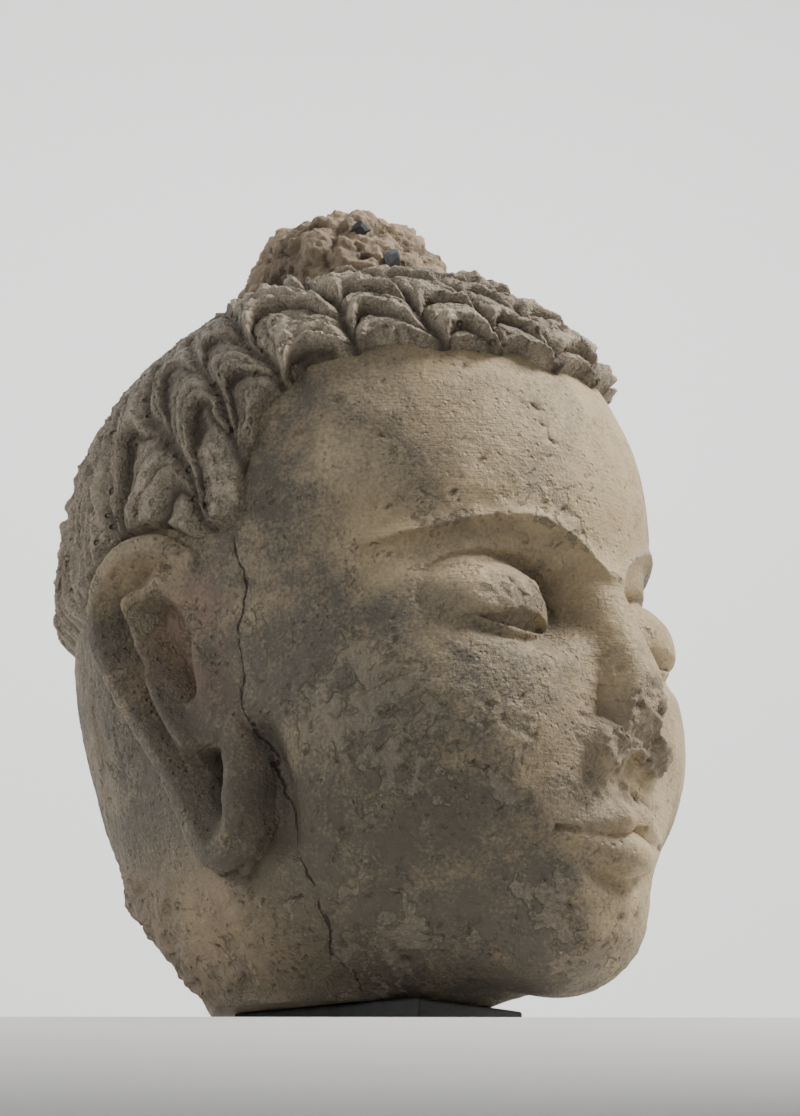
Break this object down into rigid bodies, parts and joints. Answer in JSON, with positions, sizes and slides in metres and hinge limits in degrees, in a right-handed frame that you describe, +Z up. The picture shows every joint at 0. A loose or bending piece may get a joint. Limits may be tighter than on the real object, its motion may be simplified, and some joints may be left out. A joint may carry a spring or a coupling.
{
  "type": "stucco buddha head",
  "caption": "Broken-off stucco head of a buddha with waved locks, a worn topknot and long slit ears, held up on a low black block.",
  "frame": {"origin": "under the middle of the whole, in the plane of the block's underside", "axes": "+Z up, the face looks along -Y, the head's proper left is +X"},
  "size_m": [0.2652, 0.3353, 0.4213],
  "materials": {
    "stucco": "worn, matt lime stucco, buff to grey-brown, with darker hair",
    "black_paint": "satin black paint"
  },
  "bodies": {
    "root": {"buddha_head": "stucco", "support_block": "black_paint"}
  },
  "joints": []
}
